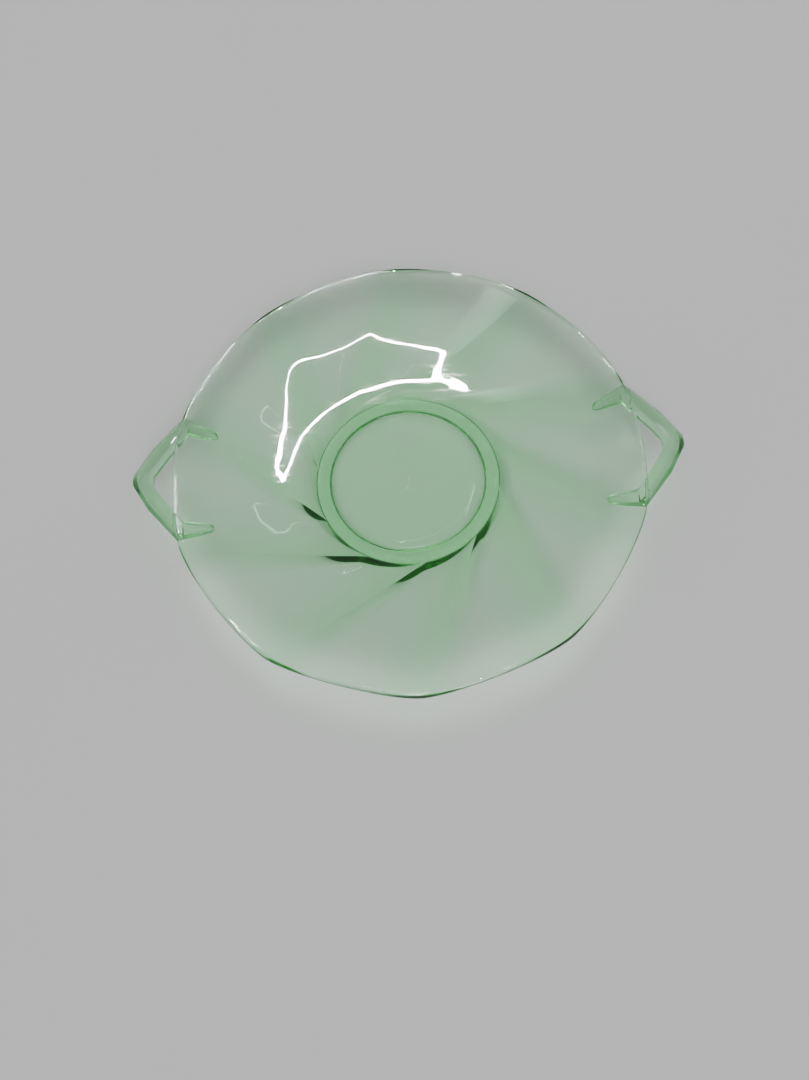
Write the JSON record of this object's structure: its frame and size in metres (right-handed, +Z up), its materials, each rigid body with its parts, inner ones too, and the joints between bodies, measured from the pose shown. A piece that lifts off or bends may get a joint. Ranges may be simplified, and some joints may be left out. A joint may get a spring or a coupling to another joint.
{
  "type": "two-handled pressed glass dish",
  "caption": "Shallow round dish of pale green pressed glass with a flat well, swirl-fluted wall, low foot ring and two open angular handles.",
  "frame": {"origin": "centre of the foot ring's underside, at the lowest point of the dish", "axes": "+X through the right handle, +Y towards the back, +Z up out of the dish"},
  "size_m": [0.28, 0.241, 0.0279],
  "materials": {
    "green_glass": "fire-polished, clear, pale green through the mass"
  },
  "bodies": {
    "root": {"well_plate": "green_glass", "foot_ring": "green_glass", "swirl_wall": "green_glass", "handle_right": "green_glass", "handle_left": "green_glass", "claw_right_back": "green_glass", "claw_right_front": "green_glass", "claw_left_front": "green_glass", "claw_left_back": "green_glass"}
  },
  "joints": []
}
